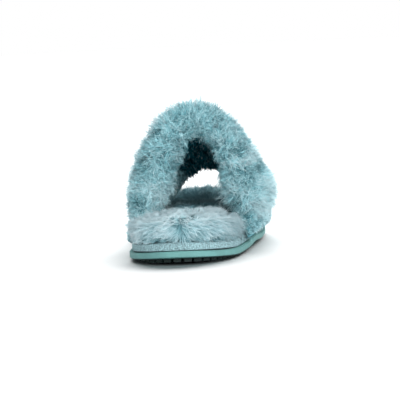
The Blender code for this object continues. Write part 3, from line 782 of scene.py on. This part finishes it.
class SLIPPER_OT_footbed(bpy.types.Operator):
    """Makes the fur footbed"""

    bl_idname = "slipper.footbed"
    bl_label = "Fur Footbed"

    def execute(self, context):
        settings = context.scene.slipper_fur
        colour = tuple(settings.footbed_colour)
        surface = softened("insole", rounds=3)
        places, normals = points_of(surface)
        x, y, _ = places.T
        on_top = ease(normals[:, 2], 0.3, 0.8)
        at_heel = ease(y, -50 * MM, -90 * MM)
        # The backing lies under the solid's face, and deepest at the shoulders of the heel
        shoulders = 5.0 * MM * ease(x, -2 * MM, -24 * MM) + 2.5 * MM * ease(x, 18 * MM, 32 * MM)
        sink(surface, 1.2 * MM + (1.6 * MM + shoulders * at_heel) * on_top, share=0.45)
        cover(surface, backing_material("footbed_backing_knit", colour))
        places, normals = points_of(surface)
        x, y, z = places.T
        low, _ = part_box("insole")
        sideways = 1 - np.abs(normals[:, 2])
        lower = ease(z, 30 * MM, 16 * MM)
        behind = ease(y, -90 * MM, -110 * MM)
        at_toe = ease(y, 60 * MM, 90 * MM)

        # The fur lies outwards. At the heel it fans out to both sides of a parting, and stands on the crest
        outward = np.stack([x / (30 * MM), ease(y, -10 * MM, 40 * MM), -2.2 * sideways], 1)
        from_parting = x - looked_up(HEEL_PARTING, "z", z, "x")
        fan = np.tanh(from_parting / (6 * MM)) * (1 - on_top) + np.clip(x / (22 * MM), -1, 1) * on_top
        spread = np.abs(fan)
        fanned = np.stack([1.3 * fan, 0.5 * on_top * spread, -0.3 - 0.9 * lower * (1 - 0.45 * spread)], 1)
        upright = on_top * (1 - spread)
        flow = unit(outward) * (1 - at_heel)[:, None] + unit(fanned) * at_heel[:, None]
        flow = along_surface(flow, normals) * (1 - upright)[:, None]

        # Places where the fur differs. Painted shadow of the straps darkens the fur under them and on to the
        # toe, with a hollow where the toes lie
        left = ease(x, -15 * MM, -30 * MM)
        furrow = furrows(x, z, HEEL_FURROWS, HEEL_FURROW_WIDTH) * behind * (1 - on_top)
        in_middle = hump(x, 0.0, 15 * MM) * lower * behind
        hem = sideways * ease(z, low.z + 9 * MM, low.z + 3 * MM)
        strap_shadow = ease(y, -65 * MM, -25 * MM) * (1 - 0.4 * at_toe)
        strap_shadow *= 1 - 0.8 * ease(sideways, 0.3, 0.7) * ease(y, 50 * MM, 90 * MM)
        flank = np.abs(normals[:, 0]) * (1 - strap_shadow)
        clumps = patches(places, 9 * MM)
        streaks = patches(places / [2.5, 1.0, 1.0], 7 * MM)
        toe_hollow = hump(y, 74 * MM + 4 * MM * streaks, 7 * MM) * on_top
        # Painted light on the left of the footbed, behind the heel's crest
        light_past_crest = hump(y, 18 * MM, 16 * MM) * ease(x, 14 * MM, -10 * MM) * on_top

        growth = ease(normals[:, 2], -0.75, -0.45) * (1 - 0.3 * strap_shadow) * (1 - 0.4 * furrow)
        pile = settings.footbed_pile * (1 - 0.4 * on_top - 0.25 * upright * at_heel) + 3.5 * MM * at_toe
        pile *= 1 + 0.16 * clumps + 0.3 * streaks * strap_shadow
        # The share of its length that the pile loses in each place
        flank_loss = np.where(x < 0, 0.5, 0.35 - 0.3 * lower)
        losses = (0.5, hem), (0.25, in_middle), (0.5, furrow), (flank_loss, flank), (0.6, toe_hollow)
        for loss, place in losses:
            pile *= 1 - loss * place
        # How much paler or darker the strands are in each place: painted light on the crest, on the heel's
        # left and past the crest; painted shade in the furrows, at the hem, low in the middle and in the toe
        # hollow; and the clumps, paler where their pile is longer, a painted light and shade on the lumps
        shade = 0.43 + (0.5 * streaks - 0.74) * strap_shadow
        for change, place in (
            (0.13, on_top), (0.17 - 0.16 * on_top, left), (0.09, clumps), (-0.42, furrow),
            (-0.15, hem), (-0.1, in_middle), (-0.3, toe_hollow), (0.3, light_past_crest),
        ):
            shade += change * place
        set_on_points(surface, up=normals, flow=flow, pile=pile, growth=growth, shade=shade)

        pad = placed("footbed_pad", surface)
        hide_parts("insole")
        fur = fur_material("pale_faux_fur", colour, depth=0.28, sheen=0.3)
        grow_fur(
            "footbed_underfur", surface, FOOTBED_STRANDS, fur, "footbed_fur",
            Seed=11, Stand=0.6, Droop=0.15, Lean=0.45, Sweep=0.5, **FOOTBED_FUR,
        )
        grow_fur(
            "footbed_locks", surface, FOOTBED_STRANDS, fur, "footbed_fur",
            Seed=12, Stand=0.7, Droop=0.25, Lean=0.45, Sweep=0.6, **FOOTBED_FUR,
        )
        drop_fields(surface)
        return {"FINISHED"}


class SLIPPER_OT_straps(bpy.types.Operator):
    """Makes the crossed fur straps and their lining, darkened with painted shade"""

    bl_idname = "slipper.straps"
    bl_label = "Fur Straps"

    def execute(self, context):
        settings = context.scene.slipper_fur
        colour = tuple(settings.strap_colour)
        lining_shade_colour = tuple(settings.lining_shade_colour)
        low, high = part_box("upper")
        surface = softened("upper", rounds=3)
        crease = np.clip(hollows(surface, rounds=60) / (0.8 * MM), 0, 1)
        places, normals = points_of(surface)
        heights = places[:, 2]
        from_middle = (places - ARCH_MIDDLE) * [1, 0, 1]
        facing = (unit(from_middle) * normals).sum(1)
        turned_in = 1 - ease(facing, -0.7, 0.0)
        angle = np.degrees(np.arctan2(from_middle[:, 2], from_middle[:, 0]))
        angle = np.where(angle < -90, angle + 360, angle)
        depth, extra = (looked_up(FUR_ROUND_ARCH, "angle", angle, name) for name in ("depth", "extra"))
        front = ease(places[:, 1], 0.0, 30 * MM)
        sink(surface, depth + (2.5 * MM * (1 - front) - depth) * turned_in, share=0.28)
        places, normals = points_of(surface)
        # The feet of the straps stay on the platform, and no light comes in under them
        feet = 1 - ease(heights, low.z + 5 * MM, low.z + 10 * MM)
        places[:, 2] += (heights - FOOT_TUCK * turned_in - places[:, 2]) * feet
        move_points(surface, places)
        x, y, z = places.T

        # The lining covers the inside, as far as the outer fur that turns in over the edges
        from_back, from_front = rim_distances(from_middle, y)
        rim_left, rim_right = (looked_up(RIM_FUR, "z", z, side) for side in ("left", "right"))
        rim_fur = np.where(from_middle[:, 0] < 0, rim_left, rim_right)
        turned_over = 1 - ease(from_back, rim_fur, rim_fur + 4 * MM)
        outside = np.maximum(ease(facing, -0.42, -0.26), turned_over)
        outer = backing_material("strap_backing_knit", colour)
        cover(surface, outer, backing_material("lining_backing_knit", lining_shade_colour))
        for face in surface.polygons:
            face.material_index = int(outside[list(face.vertices)].mean() < 0.5)

        # The fur hangs down to both sides, and stands out round the notch over the opening
        standing = ease(z, low.z, low.z + 34 * MM)
        middle = (low.y + high.y) / 2
        flow = np.stack([0.4 * np.sign(x), 0.4 * np.sign(y - middle) * standing, -0.2 - 0.8 * standing], 1)
        at_notch = ease(normals[:, 1], -0.3, -0.7) * ease(z, 60 * MM, 80 * MM)
        flow = flow * (1 - at_notch)[:, None] + unit(from_middle) * at_notch[:, None]
        flow = along_surface(flow, normals) * 0.5

        # Places where the fur differs
        crease *= ease(z, 22 * MM, 34 * MM)
        high_up = ease(z, 42 * MM, 60 * MM)
        deep_in = turned_in * ease(np.minimum(from_back, from_front), 8 * MM, 16 * MM)
        at_edge = turned_in * (1 - high_up) * (1 - ease(from_back, 12 * MM, 22 * MM))
        side_on = ease(np.abs(normals[:, 1]), 0.55, 0.15) * ease(facing, 0.3, 0.6)
        # Painted light: paler fur on the side-facing straps, most of all on the right
        rim_light = side_on * (0.35 + 0.65 * ease(x, 40 * MM, 50 * MM))
        tufts = patches(places, 7 * MM)
        creases = furrows(x, z, STRAP_CREASES, STRAP_CREASE_WIDTH) * ease(normals[:, 1], 0.35, -0.05)
        valleys = np.maximum(creases, 0)

        growth = ease(z, low.z + 1 * MM, low.z + 3 * MM)
        pile = settings.strap_pile * (0.45 + 0.55 * standing) * (1 - 0.6 * crease)
        pile *= 1 - np.maximum(0.65 * turned_in * high_up, 0.75 * deep_in)
        pile += extra * ease(facing, 0.0, 0.5)
        pile += 2.8 * MM * at_edge
        pile *= (1 + 0.22 * tufts) * (1 - 0.22 * creases - 0.15 * valleys)
        pile = np.minimum(pile, LONGEST_STRAP_PILE)
        # How much paler or darker the strands are in each place: painted shade in the crossing crease, the
        # listed creases, the tufts' troughs and on the tops; painted light on the sides, on the inner edges
        # by the back rim, on the listed ridges and on the tufts' crowns
        shade = np.full_like(z, 0.45)
        for change, place in (
            (-0.45, crease), (0.5, rim_light), (0.15, at_edge), (0.2, tufts),
            (-0.34, creases), (-0.18, valleys), (-0.08, ease(normals[:, 2], 0.2, 0.7)),
        ):
            shade += change * place
        set_on_points(surface, up=normals, flow=flow, pile=pile, growth=growth * outside, shade=shade)

        wall = placed("strap_backing", surface)
        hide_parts("upper")
        fur = fur_material("teal_faux_fur", colour, depth=0.3, sheen=0.28)
        grow_fur(
            "strap_underfur", surface, STRAP_STRANDS, fur, "strap_fur",
            Seed=21, Stand=0.8, Droop=0.2, Lean=0.1, Sweep=0.3, **STRAP_FUR,
        )
        grow_fur(
            "strap_locks", surface, STRAP_STRANDS, fur, "strap_fur",
            Seed=22, Stand=0.95, Droop=0.3, Lean=0.05, Sweep=0.4, **STRAP_FUR,
        )
        # The topmost strands are finer, and paler with painted light for the light through the fringe's thin
        # tips
        set_on_points(surface, shade=shade + 0.1)
        grow_fur(
            "strap_wisps", surface, STRAP_STRANDS, fur, "strap_fur",
            Seed=23, Width=0.34 * MM, Stand=0.98, Droop=0.35, Lean=0.1, Sweep=0.5, **STRAP_FUR,
        )
        # The lining is thick over the front opening and thin at its sides
        at_opening = 0.45 * ease(z, 45 * MM, 55 * MM) - 0.6 * ease(np.abs(x), 5 * MM, 13 * MM)
        inner = surface.copy()
        pile = settings.lining_pile * (0.6 + front * at_opening)
        set_on_points(inner, growth=growth * (1 - outside), pile=pile, shade=np.full_like(z, 0.4))
        # The lining's fur is dark: painted shade for the inside of the straps
        lining = fur_material("painted_shade_lining_fur", lining_shade_colour, depth=0.6, sheen=0.0)
        grow_fur(
            "strap_lining", inner, LINING_STRANDS, lining, "strap_fur",
            Seed=31, Width=1.2 * MM, Stand=0.9, Droop=0.2, Lean=0.2, Sweep=0.3, **STRAP_FUR,
        )
        drop_fields(surface)
        return {"FINISHED"}


class SLIPPER_OT_stage(bpy.types.Operator):
    """Sets the floor, the light and the camera"""

    bl_idname = "slipper.stage"
    bl_label = "Floor, Light and Camera"

    def execute(self, context):
        scene = context.scene
        settings = scene.slipper_stage
        scene.view_settings.view_transform = "Standard"
        bm = bmesh.new()
        bmesh.ops.create_grid(bm, x_segments=8, y_segments=8, size=FLOOR_HALF)
        mesh = bpy.data.meshes.new("floor")
        bm.to_mesh(mesh)
        bm.free()
        # Matt pale paint: an even ground that takes a soft shadow
        paint, _, _ = principled("pale_floor_paint", Base_Color=(0.9, 0.9, 0.9, 1.0), Roughness=0.9)
        mesh.materials.append(paint)
        floor = bpy.data.objects.new("floor", mesh)
        scene.collection.objects.link(floor)

        world = bpy.data.worlds.new("studio")
        world.use_nodes = True
        tree = world.node_tree
        tree.nodes.clear()
        seen = put(tree, "ShaderNodeBackground", {"Color": (1, 1, 1, 1), "Strength": 1.0})
        glow = put(tree, "ShaderNodeBackground", {"Color": (0.85, 1.0, 1.02, 1), "Strength": 0.2})
        path = put(tree, "ShaderNodeLightPath")
        mix = put(tree, "ShaderNodeMixShader", {0: path.outputs["Is Camera Ray"], 1: glow, 2: seen})
        put(tree, "ShaderNodeOutputWorld", {"Surface": mix})
        scene.world = world

        # The light from the right leaves out the footbed too
        bed = [obj for obj in scene.objects if obj.name.startswith("footbed")]
        for name, towards, strength, spread, link in LIGHTS:
            light = bpy.data.lights.new(name, "SUN")
            light.energy = strength
            light.angle = math.radians(spread)
            lamp = bpy.data.objects.new(name, light)
            lamp.rotation_mode = "QUATERNION"
            lamp.rotation_quaternion = Vector(towards).to_track_quat("-Z", "Y")
            scene.collection.objects.link(lamp)
            lit = bpy.data.collections.new(name + "_receivers")
            for obj in [floor] + (bed if name == "right_side" else []):
                lit.objects.link(obj)
            for entry in lit.collection_objects:
                entry.light_linking.link_state = link
            lamp.light_linking.receiver_collection = lit

        camera = bpy.data.objects.new("camera", bpy.data.cameras.new("camera"))
        scene.collection.objects.link(camera)
        scene.camera = camera
        a, e, r = settings.azimuth, settings.elevation, settings.roll
        back = Vector((math.sin(a) * math.cos(e), -math.cos(a) * math.cos(e), math.sin(e)))
        right = Vector((math.cos(a), math.sin(a), 0.0))
        up = back.cross(right)
        across = right * math.cos(r) - up * math.sin(r)
        upright = right * math.sin(r) + up * math.cos(r)
        turn = Matrix((across, upright, back)).transposed().to_4x4()
        camera.matrix_world = Matrix.Translation(Vector(LOOK_AT) + back * settings.distance) @ turn
        camera.data.sensor_width = SENSOR_WIDTH
        camera.data.lens = PICTURE_SCALE * settings.distance / PICTURE_WIDTH * SENSOR_WIDTH
        camera.data.shift_x, camera.data.shift_y = CAMERA_SHIFT
        return {"FINISHED"}


class SLIPPER_PT_panel(bpy.types.Panel):
    """Lists the slipper's pieces and their settings"""

    bl_idname = "SLIPPER_PT_panel"
    bl_label = "Plush Slide Slipper"
    bl_space_type = "VIEW_3D"
    bl_region_type = "UI"
    bl_category = "Slipper"

    def draw(self, context):
        layout = self.layout
        for operator in OPERATORS:
            layout.operator(operator.bl_idname)
        for settings in ("slipper_fur", "slipper_sole", "slipper_stage"):
            group = getattr(context.scene, settings)
            for name in group.bl_rna.properties.keys():
                if name not in {"rna_type", "name"}:
                    layout.prop(group, name)


OPERATORS = SLIPPER_OT_outsole, SLIPPER_OT_midsole, SLIPPER_OT_footbed, SLIPPER_OT_straps, SLIPPER_OT_stage
CLASSES = (FurSettings, SoleSettings, StageSettings, *OPERATORS, SLIPPER_PT_panel)


def register():
    for cls in CLASSES:
        bpy.utils.register_class(cls)
    bpy.types.Scene.slipper_fur = bpy.props.PointerProperty(type=FurSettings)
    bpy.types.Scene.slipper_sole = bpy.props.PointerProperty(type=SoleSettings)
    bpy.types.Scene.slipper_stage = bpy.props.PointerProperty(type=StageSettings)


def unregister():
    del bpy.types.Scene.slipper_stage
    del bpy.types.Scene.slipper_sole
    del bpy.types.Scene.slipper_fur
    for cls in reversed(CLASSES):
        bpy.utils.unregister_class(cls)


def main():
    register()
    bpy.ops.slipper.outsole()
    bpy.ops.slipper.midsole()
    bpy.ops.slipper.footbed()
    bpy.ops.slipper.straps()
    bpy.ops.slipper.stage()


if __name__ == "__main__":
    main()
